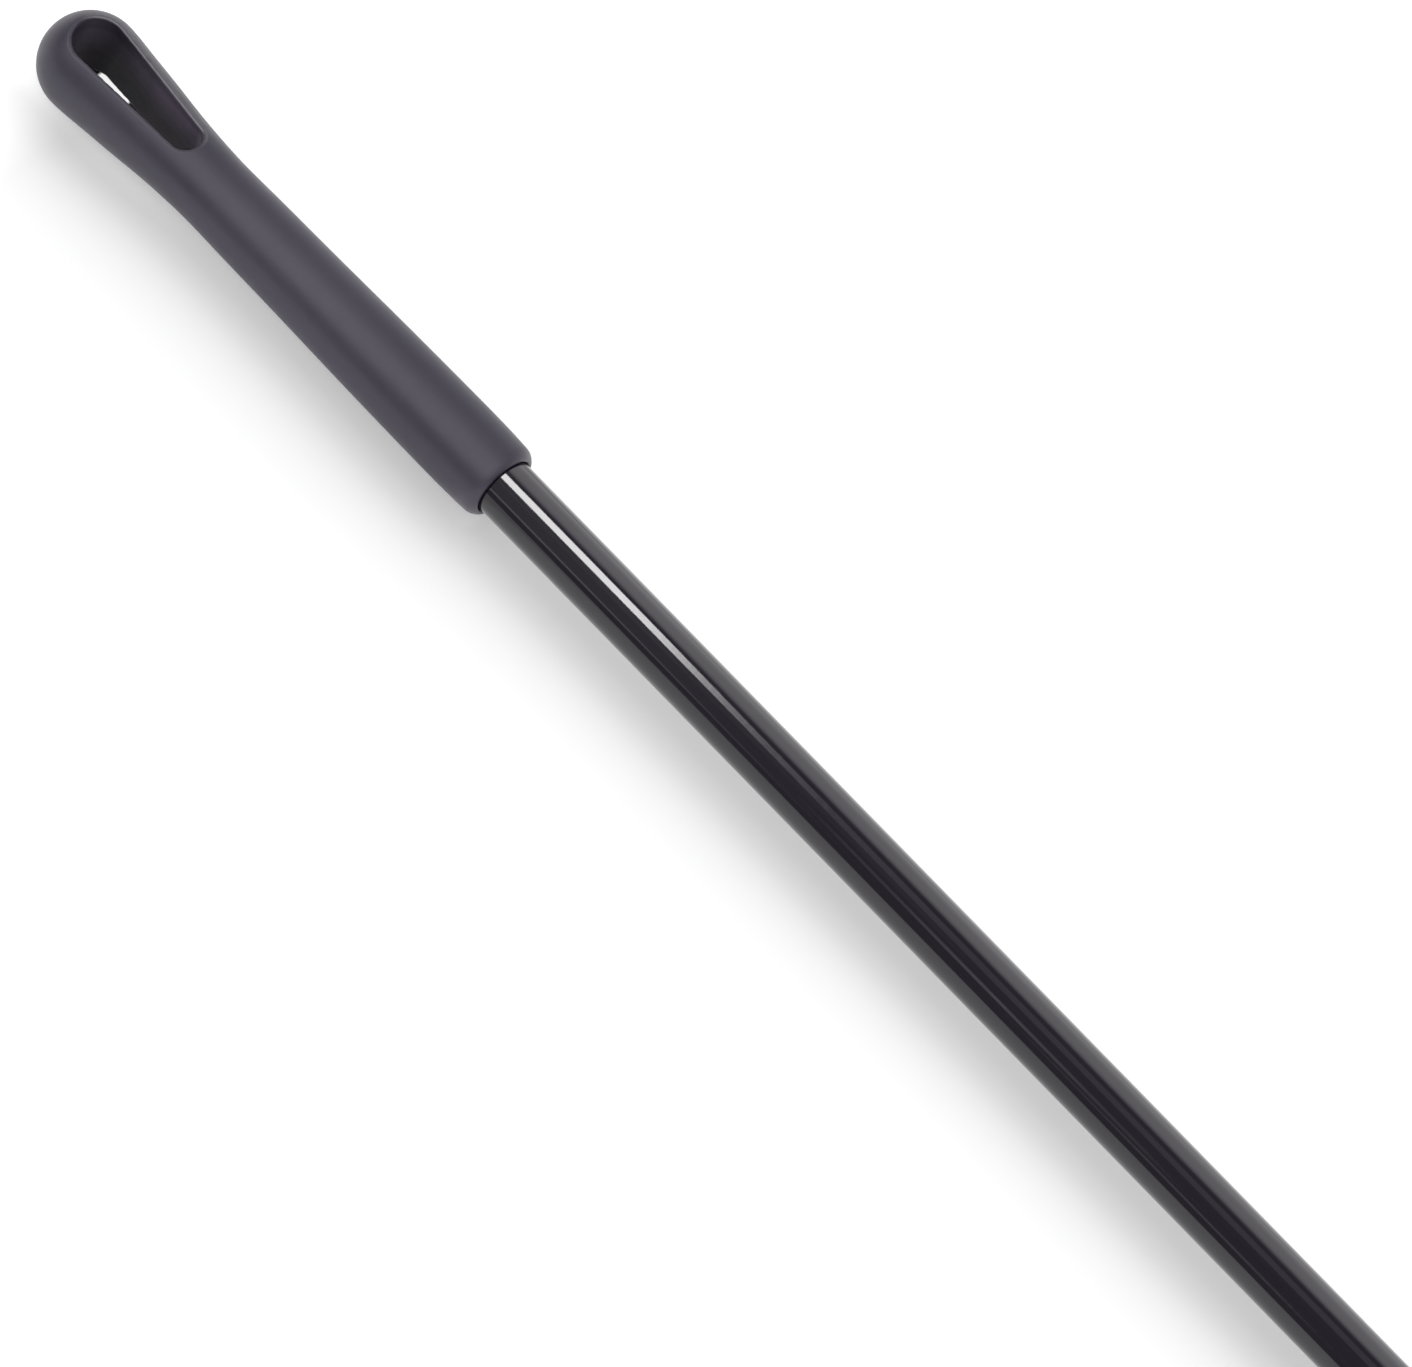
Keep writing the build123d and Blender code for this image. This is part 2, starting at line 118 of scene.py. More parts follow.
def rounded(corners, default=0.25, steps=4, closed=True):
    """Profile corners (r, s[, radius]) with each corner turned into a small arc."""
    count = len(corners)
    points = []
    for i, corner in enumerate(corners):
        p = np.array(corner[:2], float)
        if not closed and i in (0, count - 1):
            points.append(p)
            continue
        radius = corner[2] if len(corner) > 2 else default
        back = np.array(corners[i - 1][:2], float) - p
        ahead = np.array(corners[(i + 1) % count][:2], float) - p
        back_len, ahead_len = np.linalg.norm(back), np.linalg.norm(ahead)
        back, ahead = back / back_len, ahead / ahead_len
        half = math.acos(back @ ahead) / 2
        # small edges limit the arc
        cut = min(radius / math.tan(half), 0.45 * back_len, 0.45 * ahead_len)
        radius = cut * math.tan(half)
        middle = (back + ahead) / np.linalg.norm(back + ahead)
        centre = p + middle * (radius / math.sin(half))
        first, last = p + back * cut - centre, p + ahead * cut - centre
        turn = math.pi - 2 * half
        for k in range(steps + 1):
            t = k / steps
            arm = math.sin((1 - t) * turn) * first + math.sin(t * turn) * last
            points.append(centre + arm / math.sin(turn))
    return np.array(points)


def densify(profile, step, s_min=-1e9, s_max=1e9, r_min=0.0, closed=True):
    """Splits edges longer than step that lie between s_min and s_max and beyond r_min."""
    points = []
    count = len(profile)
    for i in range(count if closed else count - 1):
        p, q = profile[i], profile[(i + 1) % count]
        points.append(p)
        # split at the limits first, so a long edge only gets points between them
        cuts = [0.0, 1.0]
        if abs(q[1] - p[1]) > 1e-9:
            crossings = [(limit - p[1]) / (q[1] - p[1]) for limit in (s_min, s_max)]
            cuts = sorted(cuts + [t for t in crossings if 0.0 < t < 1.0])
        for a, b in zip(cuts[:-1], cuts[1:]):
            middle = p + (q - p) * (a + b) / 2
            length = np.linalg.norm(q - p) * (b - a)
            parts = 1
            if s_min <= middle[1] <= s_max and middle[0] >= r_min:
                parts = max(1, int(math.ceil(length / step)))
            for k in range(1, parts + 1):
                t = a + (b - a) * k / parts
                if t < 1.0 - 1e-9:
                    points.append(p + (q - p) * t)
    if not closed:
        points.append(profile[-1])
    return np.array(points)


def turned(profile, segments, shape=None):
    """Turns a profile (r, place) round an axis; shape(theta, r, s) bends the radius.

    Returns two coordinates across the axis, one along it, and the faces.
    A profile that starts and ends on the axis is left open there.
    """
    r, s = profile.T
    theta = 2 * math.pi * np.arange(segments) / segments
    theta = np.repeat(theta[:, None], len(r), axis=1)
    radius, along = np.tile(r, (segments, 1)), np.tile(s, (segments, 1))
    if shape is not None:
        radius = shape(theta, radius, along)
    across_0, across_1 = radius * np.cos(theta), radius * np.sin(theta)
    on_axis = r <= 1e-9
    rings, points = [], []
    for j in range(len(r)):
        first = len(points)
        if on_axis[j]:
            rings.append([first] * segments)
            points.append((0.0, 0.0, s[j]))
        else:
            rings.append(list(range(first, first + segments)))
            points.extend(zip(across_0[:, j], across_1[:, j], along[:, j]))
    if not (on_axis[0] and on_axis[-1]):
        rings.append(rings[0])
    faces = []
    for ring, following in zip(rings[:-1], rings[1:]):
        for i in range(segments):
            k = (i + 1) % segments
            # a quad that touches the axis collapses to a triangle
            faces.append(list(dict.fromkeys((ring[i], ring[k], following[k], following[i]))))
    return (*np.array(points).T, faces)


def make_object(name, verts, faces, material, body, part):
    mesh = bpy.data.meshes.new(name)
    mesh.from_pydata([tuple(v) for v in verts], [], faces)
    bm = bmesh.new()
    bm.from_mesh(mesh)
    bmesh.ops.recalc_face_normals(bm, faces=bm.faces)
    bm.to_mesh(mesh)
    bm.free()
    for poly in mesh.polygons:
        poly.use_smooth = True
    obj = bpy.data.objects.new(name, mesh)
    bpy.context.scene.collection.objects.link(obj)
    mesh.materials.append(material)
    modifier = obj.modifiers.new("weighted", "WEIGHTED_NORMAL")
    modifier.weight = 60
    modifier.keep_sharp = True
    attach(obj, body)
    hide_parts(part)


def lathe(name, profile, segments, material, body, part, shape=None):
    x, y, s, faces = turned(profile, segments, shape)
    make_object(name, world_xyz(x, y, s), faces, material, body, part)


def smoothstep(x):
    x = np.clip(x, 0.0, 1.0)
    return x * x * (3 - 2 * x)


def ridge_height(theta, s, s0, s1, pitch, root_w, crest_w, depth):
    """Height of a right-handed trapezoid ridge whose centre starts at s0 on theta = 0."""
    turns = (s - s0) / pitch - theta / (2 * math.pi)
    nearest = np.round(turns)
    offset = np.abs(turns - nearest) * pitch
    centre = s0 + pitch * (nearest + theta / (2 * math.pi))
    height = np.clip((root_w / 2 - offset) / ((root_w - crest_w) / 2), 0, 1) * depth
    run_out = 0.06 * pitch
    return (height * smoothstep((centre - s0) / run_out + 1.0)
            * smoothstep((s1 - centre) / run_out + 1.0))


def flute_depth(theta, r, s, count, centre_r, flute_r, s0, s1, r_min):
    """Depth of round-bottomed flutes cut beyond r_min, faded in and out at s0 and s1."""
    step = 2 * math.pi / count
    delta = theta % step - step / 2
    offset = centre_r * np.sin(delta)
    floor_r = centre_r * np.cos(delta) - np.sqrt(np.maximum(flute_r ** 2 - offset ** 2, 0))
    inside = (np.abs(offset) < flute_r) & (r > r_min)
    ends = smoothstep((s - s0) / 0.5) * smoothstep((s1 - s) / 0.5)
    return np.where(inside, np.maximum(r - floor_r, 0), 0) * ends


# ---------------------------------------------------------------- shader helpers
def empty_tree(owner):
    owner.use_nodes = True
    owner.node_tree.nodes.clear()
    return owner.node_tree


def new_material(name):
    material = bpy.data.materials.new(name)
    tree = empty_tree(material)
    output = tree.nodes.new("ShaderNodeOutputMaterial")
    bsdf = tree.nodes.new("ShaderNodeBsdfPrincipled")
    tree.links.new(bsdf.outputs["BSDF"], output.inputs["Surface"])
    return material, tree, bsdf


def feed(tree, socket, value):
    """Sets a socket to a number or links it to another socket."""
    if isinstance(value, (int, float)):
        socket.default_value = value
    else:
        tree.links.new(value, socket)


def coords(tree, scale=(1, 1, 1)):
    tex = tree.nodes.new("ShaderNodeTexCoord")
    mapping = tree.nodes.new("ShaderNodeMapping")
    mapping.inputs["Scale"].default_value = scale
    tree.links.new(tex.outputs["Object"], mapping.inputs["Vector"])
    return mapping.outputs["Vector"]


def split_coords(tree, kind):
    tex = tree.nodes.new("ShaderNodeTexCoord")
    split = tree.nodes.new("ShaderNodeSeparateXYZ")
    tree.links.new(tex.outputs[kind], split.inputs[0])
    return split.outputs["X"], split.outputs["Y"], split.outputs["Z"]


def noise(tree, vector, scale, detail=3.0, rough=0.5):
    node = tree.nodes.new("ShaderNodeTexNoise")
    node.inputs["Scale"].default_value = scale
    node.inputs["Detail"].default_value = detail
    node.inputs["Roughness"].default_value = rough
    tree.links.new(vector, node.inputs["Vector"])
    return node.outputs["Fac"]


def map_range(tree, value, start, end, lo, hi):
    node = tree.nodes.new("ShaderNodeMapRange")
    node.inputs["From Min"].default_value = start
    node.inputs["From Max"].default_value = end
    node.inputs["To Min"].default_value = lo
    node.inputs["To Max"].default_value = hi
    tree.links.new(value, node.inputs["Value"])
    return node


def spread(tree, value, lo, hi):
    """Stretches the middle half of a noise over lo..hi."""
    return map_range(tree, value, 0.25, 0.75, lo, hi).outputs["Result"]


def fade(tree, value, start, end, lo=0.0, hi=1.0):
    """Smooth step from lo at start to hi at end."""
    node = map_range(tree, value, start, end, lo, hi)
    node.interpolation_type = "SMOOTHSTEP"
    return node.outputs["Result"]


def fade_along(tree, x, start, end, lo=0.0, hi=1.0):
    """Fade of the frame's x between two places along the pole in mm."""
    return fade(tree, x, row_x(start), row_x(end), lo, hi)


def node_math(tree, operation, a, b=None):
    node = tree.nodes.new("ShaderNodeMath")
    node.operation = operation
    feed(tree, node.inputs[0], a)
    if b is not None:
        feed(tree, node.inputs[1], b)
    return node.outputs[0]


def add(tree, a, b):
    return node_math(tree, "ADD", a, b)


def subtract(tree, a, b):
    return node_math(tree, "SUBTRACT", a, b)


def multiply(tree, first, *others):
    for other in others:
        first = node_math(tree, "MULTIPLY", first, other)
    return first


def mix_colour(tree, factor, a, b):
    node = tree.nodes.new("ShaderNodeMix")
    node.data_type = "RGBA"
    node.inputs[6].default_value = (*a, 1)
    node.inputs[7].default_value = (*b, 1)
    tree.links.new(factor, node.inputs[0])
    return node.outputs[2]


def mix_value(tree, factor, a, b):
    node = tree.nodes.new("ShaderNodeMix")
    node.data_type = "FLOAT"
    tree.links.new(factor, node.inputs[0])
    feed(tree, node.inputs[2], a)
    feed(tree, node.inputs[3], b)
    return node.outputs[0]


def mix_shader(tree, factor, a, b):
    node = tree.nodes.new("ShaderNodeMixShader")
    for socket, source in zip(node.inputs, (factor, a, b)):
        tree.links.new(source, socket)
    return node.outputs[0]


def bump(tree, height, strength, distance, normal=None):
    node = tree.nodes.new("ShaderNodeBump")
    node.inputs["Strength"].default_value = strength
    node.inputs["Distance"].default_value = distance
    tree.links.new(height, node.inputs["Height"])
    if normal is not None:
        tree.links.new(normal, node.inputs["Normal"])
    return node.outputs["Normal"]


def dress(tree, bsdf, colour, roughness, normal):
    tree.links.new(colour, bsdf.inputs["Base Color"])
    tree.links.new(roughness, bsdf.inputs["Roughness"])
    tree.links.new(normal, bsdf.inputs["Normal"])


# ---------------------------------------------------------------- materials
SOFT_DARK, SOFT_LIGHT = (0.0425, 0.0352, 0.0610), (0.0520, 0.0440, 0.0725)


def soft_plastic(name):
    material, tree, bsdf = new_material(name)
    v = coords(tree)
    grain = bump(tree, noise(tree, v, scale=1500.0, detail=4.0, rough=0.6),
                 strength=0.30, distance=0.00006)
    dress(tree, bsdf,
          mix_colour(tree, noise(tree, v, scale=18.0), SOFT_DARK, SOFT_LIGHT),
          spread(tree, noise(tree, v, scale=140.0), lo=0.36, hi=0.44),
          bump(tree, noise(tree, v, scale=260.0, detail=2.0),
               strength=0.25, distance=0.00008, normal=grain))
    bsdf.inputs["Specular IOR Level"].default_value = 0.5
    return material


EYE_PAINTED_SHADE_LOW = 0.40                # painted shade low in the eye
EYE_WALL_PAINTED_LIGHT = 2.25                # painted light: brightness of the eye's wall against the outside
EYE_TINT = (1.04, 1.0, 0.87)   # red, green and blue of the wall
RIM_SHINE = 0.95               # extra specular on the rim


def eye_painted_shade_and_finish(material):
    """Paints light and shade into the eye wall's colour, gives the wall a duller finish, and
    polishes the rim.
    """
    tree = material.node_tree
    bsdf = next(n for n in tree.nodes if n.type == "BSDF_PRINCIPLED")
    attribute = tree.nodes.new("ShaderNodeAttribute")
    attribute.attribute_name = "eye"      # mm from the eye's wall, negative in the material
    depth = attribute.outputs["Fac"]
    x, y, z = split_coords(tree, "Object")

    # towards -Y the wall's painted shading and duller finish start nearer to its surface
    wall = fade(tree, depth, start=-1.3, end=-0.2)
    late = subtract(tree, fade(tree, depth, start=-0.6, end=-0.02), wall)
    low_side = fade(tree, y, start=0.001, end=-0.004)
    wall = add(tree, wall, multiply(tree, low_side, late))

    # painted shade and light on the wall by height above the axis, then along the pole
    up = subtract(tree, z, AXIS_Z / 1000.0)
    shade = multiply(tree, fade(tree, up, start=-0.0060, end=0.0045, lo=EYE_PAINTED_SHADE_LOW),
                     fade(tree, up, start=0.0095, end=0.0135, lo=1.0, hi=0.62))
    # start and end in mm along the pole, painted shade before and after
    for start, end, before, after in [
        (28.0, 44.0, 0.55, 1.0), (15.0, 22.0, 1.6, 1.0), (44.0, 54.0, 1.0, 1.35),
    ]:
        shade = multiply(tree, shade, fade_along(tree, x, start, end, before, after))

    # a band of polish just outside the wall, strongest towards +Y
    rim = multiply(tree, fade(tree, depth, start=-2.5, end=-1.9),
                   fade(tree, depth, start=-0.15, end=-0.7),
                   fade(tree, y, start=-0.001, end=0.006, lo=0.12))

    # the whole grip is a little darker at both ends
    ends = multiply(tree, fade_along(tree, x, start=78.0, end=118.0, lo=0.81),
                    fade_along(tree, x, start=170.0, end=225.0, lo=1.0, hi=0.90))
    # the wall's base colour carries the painted light and shade
    gain = multiply(tree, shade, EYE_WALL_PAINTED_LIGHT)
    tint = tree.nodes.new("ShaderNodeCombineColor")
    for channel, level in zip(tint.inputs, EYE_TINT):
        change = subtract(tree, multiply(tree, gain, level), 1.0)
        scaled = add(tree, multiply(tree, wall, change), 1.0)
        tree.links.new(multiply(tree, scaled, ends), channel)
    tinted = tree.nodes.new("ShaderNodeMix")
    tinted.data_type = "RGBA"
    tinted.blend_type = "MULTIPLY"
    tinted.inputs[0].default_value = 1.0
    tree.links.new(bsdf.inputs["Base Color"].links[0].from_socket, tinted.inputs[6])
    tree.links.new(tint.outputs[0], tinted.inputs[7])
    tree.links.new(tinted.outputs[2], bsdf.inputs["Base Color"])

    plain_shine, wall_loss, least_shine, rim_polish = 0.5, 0.42, 0.05, 0.12
    shine = subtract(tree, plain_shine, multiply(tree, wall, wall_loss))
    shine = add(tree, shine, multiply(tree, rim, RIM_SHINE))
    tree.links.new(node_math(tree, "MAXIMUM", shine, least_shine),
                   bsdf.inputs["Specular IOR Level"])
    rough = bsdf.inputs["Roughness"].links[0].from_socket
    tree.links.new(subtract(tree, rough, multiply(tree, rim, rim_polish)),
                   bsdf.inputs["Roughness"])


def gloss_paint(name):
    material, tree, bsdf = new_material(name)
    v = coords(tree)
    along = coords(tree, scale=(0.04, 1, 1))
    peel = bump(tree, noise(tree, v, scale=330.0, detail=2.0), strength=0.10, distance=0.00006)
    dress(tree, bsdf,
          mix_colour(tree, noise(tree, along, scale=420.0, detail=4.0, rough=0.6),
                     (0.0050, 0.0030, 0.0085), (0.0105, 0.0070, 0.0150)),
          spread(tree, noise(tree, v, scale=300.0), lo=0.05, hi=0.11),
          bump(tree, noise(tree, along, scale=900.0),
               strength=0.05, distance=0.00003, normal=peel))
    bsdf.inputs["IOR"].default_value = 1.5
    return material


def moulded_plastic(name, dark, light):
    material, tree, bsdf = new_material(name)
    v = coords(tree)
    dress(tree, bsdf,
          mix_colour(tree, noise(tree, v, scale=90.0, detail=4.0), dark, light),
          spread(tree, noise(tree, v, scale=600.0), lo=0.38, hi=0.52),
          bump(tree, noise(tree, v, scale=2400.0), strength=0.25, distance=0.00004))
    return material


def drawn_tube(name):
    material, tree, bsdf = new_material(name)
    lines = noise(tree, coords(tree, scale=(0.02, 1, 1)), scale=1600.0, detail=4.0, rough=0.65)
    dress(tree, bsdf,
          mix_colour(tree, lines, (0.33, 0.33, 0.345), (0.45, 0.45, 0.47)),
          spread(tree, noise(tree, coords(tree), scale=60.0), lo=0.30, hi=0.42),
          bump(tree, lines, strength=0.15, distance=0.00003))
    bsdf.inputs["Metallic"].default_value = 1.0
    return material


def plain_steel(name):
    material, tree, bsdf = new_material(name)
    v = coords(tree)
    dress(tree, bsdf,
          mix_colour(tree, noise(tree, v, scale=700.0, detail=4.0),
                     (0.46, 0.46, 0.47), (0.62, 0.62, 0.63)),
          spread(tree, noise(tree, v, scale=900.0), lo=0.26, hi=0.42),
          bump(tree, noise(tree, v, scale=2500.0, detail=2.0), strength=0.15, distance=0.00003))
    bsdf.inputs["Metallic"].default_value = 1.0
    return material


MAT_GRIP = soft_plastic("grip_soft_plastic")
eye_painted_shade_and_finish(MAT_GRIP)
MAT_TUBE = gloss_paint("tube_gloss_black")
MAT_SLEEVE = soft_plastic("sleeve_soft_plastic")
MAT_NYLON = moulded_plastic("lock_black_nylon", dark=(0.010, 0.010, 0.011),
                            light=(0.020, 0.020, 0.022))
MAT_TIP = moulded_plastic("tip_black_nylon", dark=(0.012, 0.012, 0.013),
                          light=(0.024, 0.024, 0.026))
MAT_INNER = drawn_tube("inner_tube_aluminium")
MAT_STEEL = plain_steel("rivet_steel")
MAT_ACETAL = moulded_plastic("natural_acetal", dark=(0.52, 0.50, 0.45),
                             light=(0.66, 0.64, 0.58))


def repaint(node, material):
    """Gives a CAD piece that is kept as it is a new material."""
    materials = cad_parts[node].data.materials
    materials.clear()
    materials.append(material)


repaint("clamp_ring", MAT_ACETAL)
repaint("slip_washer", MAT_STEEL)
repaint("guide_plug", MAT_NYLON)
repaint("plug_pin", MAT_STEEL)
repaint("guide_ring", MAT_ACETAL)


# ---------------------------------------------------------------- grip
def grip_profile():
    """Outline (r, s) from the butt over the outside and back down the bore."""
    angle = np.radians(np.linspace(0, 90, 40))
    dome = np.stack([BULB_R * np.sin(angle), BULB_R * (1 - np.cos(angle))], axis=1)
    lip_start, lip_dir = (17.2, 260.5), (-0.045, 1)
    side = clamped_spline([
        (BULB_R, BULB_R), (20.5, 35.1), (18.97, 51.8), (17.28, 68.5), (16.16, 85.1),
        (15.82, 97.0), (16.02, 112.0), (16.32, 135.1), (16.62, 158.0), (17.08, 185.0),
        (17.42, 215.0), (17.56, 236.0), (17.5, 250.0), lip_start,
    ], (0, 1), lip_dir, steps=10)
    lip = clamped_spline([lip_start, (16.85, 263.8), (15.7, 265.85), (14.05, GRIP_LEN)],
                         lip_dir, (-1, 0), steps=8)
    bore = np.array([(BORE_R + 0.7, GRIP_LEN), (BORE_R, GRIP_LEN - 0.9),
                     (BORE_R, BORE_END), (0, BORE_END)])
    return np.concatenate([dome[:-1], side[:-1], lip, bore])


TABLE_S0, CELL = -3.0, 0.1


def profile_table(profile):
    """Signed distance to the closed profile on a grid in (s, r); negative in the material."""
    s_axis = np.arange(TABLE_S0, 270.0 + CELL, CELL)
    r_axis = np.arange(0.0, 25.0 + CELL, CELL)
    ss, rr = np.meshgrid(s_axis, r_axis, indexing="ij")
    table = np.full(ss.shape, 1e9)
    inside = np.zeros(ss.shape, bool)
    reach = 4.0                           # how far from an edge distances are worked out
    for (r0, s0), (r1, s1) in zip(profile, np.roll(profile, -1, axis=0)):
        if s1 != s0:
            crosses = (s0 > ss) != (s1 > ss)
            inside ^= crosses & (rr < r0 + (ss - s0) * (r1 - r0) / (s1 - s0))
        if r0 < 1e-9 and r1 < 1e-9:
            continue                      # the closing edge on the axis is not a surface
        lo = max(0, int((min(s0, s1) - reach - TABLE_S0) / CELL))
        hi = min(len(s_axis), int((max(s0, s1) + reach - TABLE_S0) / CELL) + 2)
        edge = np.array([r1 - r0, s1 - s0])
        r_off, s_off = rr[lo:hi] - r0, ss[lo:hi] - s0
        t = np.clip((r_off * edge[0] + s_off * edge[1]) / max(edge @ edge, 1e-12), 0, 1)
        distance = np.hypot(r_off - t * edge[0], s_off - t * edge[1])
        table[lo:hi] = np.minimum(table[lo:hi], distance)
    table[inside] *= -1
    return table


def body_distance(table, p):
    """Distance to the grip without its eye, read from the table between its cells."""
    row = np.clip((p[:, 2] - TABLE_S0) / CELL, 0, table.shape[0] - 1.001)
    col = np.clip(np.hypot(p[:, 0], p[:, 1]) / CELL, 0, table.shape[1] - 1.001)
    i, j = row.astype(int), col.astype(int)
    u, v = row - i, col - j
    return ((1 - u) * (1 - v) * table[i, j] + u * (1 - v) * table[i + 1, j]
            + (1 - u) * v * table[i, j + 1] + u * v * table[i + 1, j + 1])


def eye_distance(p):
    """Distance to the eye's drafted wall, negative in the material."""
    length = EYE_NARROW_S - EYE_WIDE_S
    taper_sin = (EYE_WIDE_R - EYE_NARROW_R) / length
    taper_cos = math.sqrt(1 - taper_sin * taper_sin)
    across, along = np.abs(p[:, 1]), p[:, 2] - EYE_WIDE_S
    k = -taper_sin * across + taper_cos * along
    outside = np.where(
        k < 0, np.hypot(across, along) - EYE_WIDE_R,
        np.where(k > taper_cos * length, np.hypot(across, along - length) - EYE_NARROW_R,
                 taper_cos * across + taper_sin * along - EYE_WIDE_R))
    return np.abs(p[:, 0]) * EYE_DRAFT - outside


def cut_eye(body, eye):
    """Body less the eye, with the edge between them rounded to EYE_RIM."""
    return (np.minimum(np.maximum(body, eye), -EYE_RIM)
            + np.hypot(np.maximum(body + EYE_RIM, 0), np.maximum(eye + EYE_RIM, 0)))


def even_skin():
    """An even quad skin over the CAD grip."""
    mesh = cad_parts["grip"].data.copy()
    bm = bmesh.new()
    bm.from_mesh(mesh)
    bmesh.ops.remove_doubles(bm, verts=bm.verts, dist=1e-6)
    bm.to_mesh(mesh)
    bm.free()
    source = bpy.data.objects.new("tmp_grip", mesh)
    bpy.context.scene.collection.objects.link(source)
    modifier = source.modifiers.new("remesh", "REMESH")
    modifier.mode = "VOXEL"
    modifier.voxel_size = 0.0006
    modifier.use_smooth_shade = True
    depsgraph = bpy.context.evaluated_depsgraph_get()
    skin = bpy.data.meshes.new_from_object(source.evaluated_get(depsgraph), depsgraph=depsgraph)
    bpy.data.objects.remove(source)
    return skin


def make_grip():
    table = profile_table(grip_profile())
    skin = even_skin()
    count = len(skin.vertices)
    co = np.zeros(count * 3)
    skin.vertices.foreach_get("co", co)
    co = co.reshape(-1, 3) * 1000.0
    p = np.stack([AXIS_Z - co[:, 2], co[:, 1], co[:, 0] + TOTAL / 2], axis=1)
    near_eye = p[:, 2] < EYE_NARROW_S + 20.0

    def value(q):
        distance = body_distance(table, q)
        distance[near_eye] = cut_eye(distance[near_eye], eye_distance(q[near_eye]))
        return distance

    def gradient(q, step=0.02):
        slope = np.zeros_like(q)
        for i in range(3):
            shift = np.zeros(3)
            shift[i] = step
            slope[:, i] = (value(q + shift) - value(q - shift)) / (2 * step)
        return slope

    def unit(vectors):
        return vectors / np.maximum(np.linalg.norm(vectors, axis=1, keepdims=True), 1e-6)

    edges = np.zeros(len(skin.edges) * 2, np.int64)
    skin.edges.foreach_get("vertices", edges)
    edges = edges.reshape(-1, 2)
    neighbours = np.bincount(edges.ravel(), minlength=count).astype(float)[:, None]
    for step in range(6):
        if step in (1, 2, 3):
            # even out the grid along the surface, but keep the edge of the mouth
            total = np.zeros_like(p)
            np.add.at(total, edges[:, 0], p[edges[:, 1]])
            np.add.at(total, edges[:, 1], p[edges[:, 0]])
            move = total / neighbours - p
            normal = unit(gradient(p))
            move -= normal * np.sum(move * normal, axis=1, keepdims=True)
            at_mouth = (p[:, 2] > GRIP_LEN - 1.6) & (np.hypot(p[:, 0], p[:, 1]) < BORE_R + 1.2)
            move[at_mouth] = 0
            p = p + 0.5 * move
        # put every vertex on the smooth surface
        distance = value(p)[:, None]
        slope = gradient(p)
        steepness = np.maximum(np.sum(slope * slope, axis=1, keepdims=True), 0.25)
        p = p - np.clip(distance / steepness, -0.5, 0.5) * slope
    normal = unit(gradient(p, 0.05))
    skin.vertices.foreach_set("co", world_xyz(p[:, 0], p[:, 1], p[:, 2]).ravel())
    skin.update()
    skin.materials.clear()
    skin.materials.append(MAT_GRIP)
    for poly in skin.polygons:
        poly.use_smooth = True
        poly.material_index = 0
    world_normals = np.stack([normal[:, 2], normal[:, 1], -normal[:, 0]], axis=1)
    skin.normals_split_custom_set_from_vertices([tuple(v) for v in world_normals])
    # distance to the eye's wall for the material, -9 away from the eye
    eye = np.where(p[:, 2] < 100.0, np.clip(eye_distance(p), -9.0, 0.5), -9.0)
    attribute = skin.attributes.new("eye", "FLOAT", "POINT")
    attribute.data.foreach_set("value", eye.astype(np.float32))
    skin.name = "grip_skin"
    obj = bpy.data.objects.new("grip_moulding", skin)
    bpy.context.scene.collection.objects.link(obj)
    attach(obj, "outer")
    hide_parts("grip")


# ---------------------------------------------------------------- tubes
def outer_dents(theta, r, s):
    """A pushed-in spherical dent with a soft edge on the +Y and on the -Y side."""
    x, y = r * np.cos(theta), r * np.sin(theta)
    # on the inside the dent is larger by the wall
    ball = DENT_BALL + np.where(r > 12.2, 0.0, TUBE_WALL)
    reach = ball ** 2 - (x ** 2 + (s - DENT_S) ** 2)
    centre_y = TUBE_R - DENT_DEPTH + DENT_BALL
    surface_y = np.where(reach > 0, centre_y - np.sqrt(np.maximum(reach, 0.0)), 99.0)
    cut = np.abs(y) - surface_y
    soft = 0.12
    push = np.where(cut < soft, (cut + soft) ** 2 / (4 * soft), cut)
    return r - np.where(cut > -soft, push, 0.0)


def make_outer_tube():
    inside = TUBE_R - TUBE_WALL
    profile = rounded([(TUBE_R, 91.0), (TUBE_R, TUBE_END), (inside, TUBE_END), (inside, 91.0)],
                      default=0.2, steps=2)
    profile = densify(profile, 0.3, s_min=DENT_S - 4.0, s_max=DENT_S + 4.0)
    profile = densify(profile, 60.0)
    lathe("outer_tube_gloss", profile, 240, MAT_TUBE, "outer", "outer_tube", outer_dents)


def make_inner_tube():
    inside = INNER_R - INNER_WALL
    profile = rounded([(INNER_R, 118.0), (INNER_R, 1070.0), (inside, 1070.0), (inside, 118.0)],
                      default=0.15, steps=2)
    lathe("inner_tube_drawn", densify(profile, 60.0), 192, MAT_INNER, "inner", "inner_tube")


# ---------------------------------------------------------------- twist lock
def lock_body_shape(theta, r, s):
    # screw thread for the nut
    threaded = (r > 13.55) & (r < 13.7) & (s > 1011.5) & (s < 1044.9)
    ridge = ridge_height(theta, s, s0=1019.0, s1=1041.0, pitch=LOCK_PITCH,
                         root_w=2.1, crest_w=1.0, depth=LOCK_THREAD_DEPTH)
    shaped = np.where(threaded, r + ridge, r)
    # twelve flutes round the barrel
    shaped = shaped - flute_depth(theta, r, s, count=12, centre_r=LOCK_R + 2.3, flute_r=2.75,
                                  s0=982.8, s1=991.2, r_min=14.0)
    # spot faces under the rivet heads
    x, y = shaped * np.cos(theta), shaped * np.sin(theta)
    spot = (r > 14.0) & (x ** 2 + (s - RIVET_S) ** 2 < SPOT_R ** 2) & (np.abs(y) > SPOT_Y)
    return np.where(spot, SPOT_Y / np.maximum(np.abs(np.sin(theta)), 0.5), shaped)


